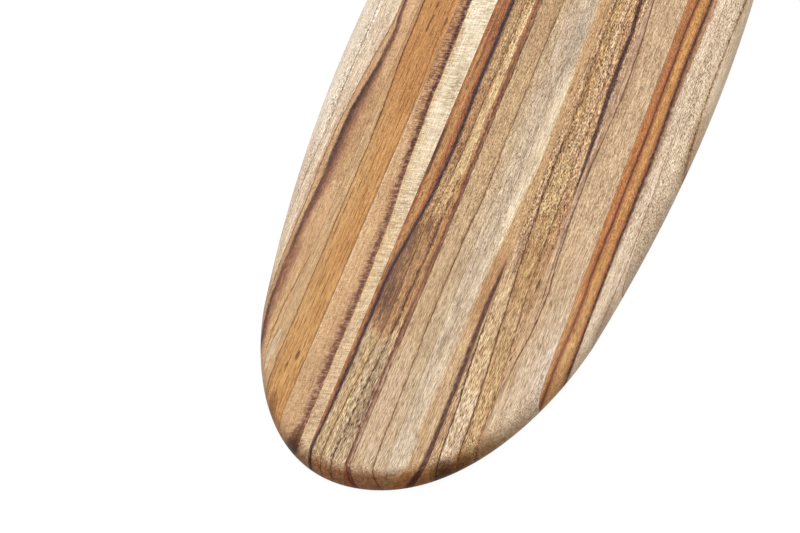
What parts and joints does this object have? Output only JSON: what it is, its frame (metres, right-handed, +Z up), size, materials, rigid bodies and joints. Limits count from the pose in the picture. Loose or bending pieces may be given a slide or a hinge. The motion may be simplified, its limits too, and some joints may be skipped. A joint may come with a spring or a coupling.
{
  "type": "serving board",
  "caption": "Long oval hardwood serving board, edge-glued from full-length staves, flat above and below with a soft round edge, for carrying and serving food.",
  "frame": {"origin": "centre of the underside, on the surface that the board lies on", "axes": "+Y along the staves, away from the end that the picture shows; +X to the right as in the picture; +Z up through the thickness"},
  "size_m": [0.204, 0.762, 0.013],
  "materials": {
    "rim_stave_left_wood": "oiled satin, pale straw",
    "stave_01_wood": "oiled satin, tan with a dark growth line",
    "stave_02_wood": "oiled satin, honey brown",
    "stave_03_wood": "oiled satin, pink tan and cream",
    "stave_04_wood": "oiled satin, red brown and olive gold",
    "stave_05_wood": "oiled satin, beige with an orange edge",
    "stave_06_wood": "oiled satin, grey beige",
    "stave_07_wood": "oiled satin, golden brown",
    "stave_08_wood": "oiled satin, grey tan",
    "stave_09_wood": "oiled satin, orange brown with dark growth lines",
    "rim_stave_right_wood": "oiled satin, pale tan",
    "glue": "matte, cured brown wood glue"
  },
  "bodies": {
    "root": {"rim_stave_left": "rim_stave_left_wood", "stave_01": "stave_01_wood", "stave_02": "stave_02_wood", "stave_03": "stave_03_wood", "stave_04": "stave_04_wood", "stave_05": "stave_05_wood", "stave_06": "stave_06_wood", "stave_07": "stave_07_wood", "stave_08": "stave_08_wood", "stave_09": "stave_09_wood", "rim_stave_right": "rim_stave_right_wood", "glue_line_01": "glue", "glue_line_02": "glue", "glue_line_03": "glue", "glue_line_04": "glue", "glue_line_05": "glue", "glue_line_06": "glue", "glue_line_07": "glue", "glue_line_08": "glue", "glue_line_09": "glue", "glue_line_10": "glue"}
  },
  "joints": []
}
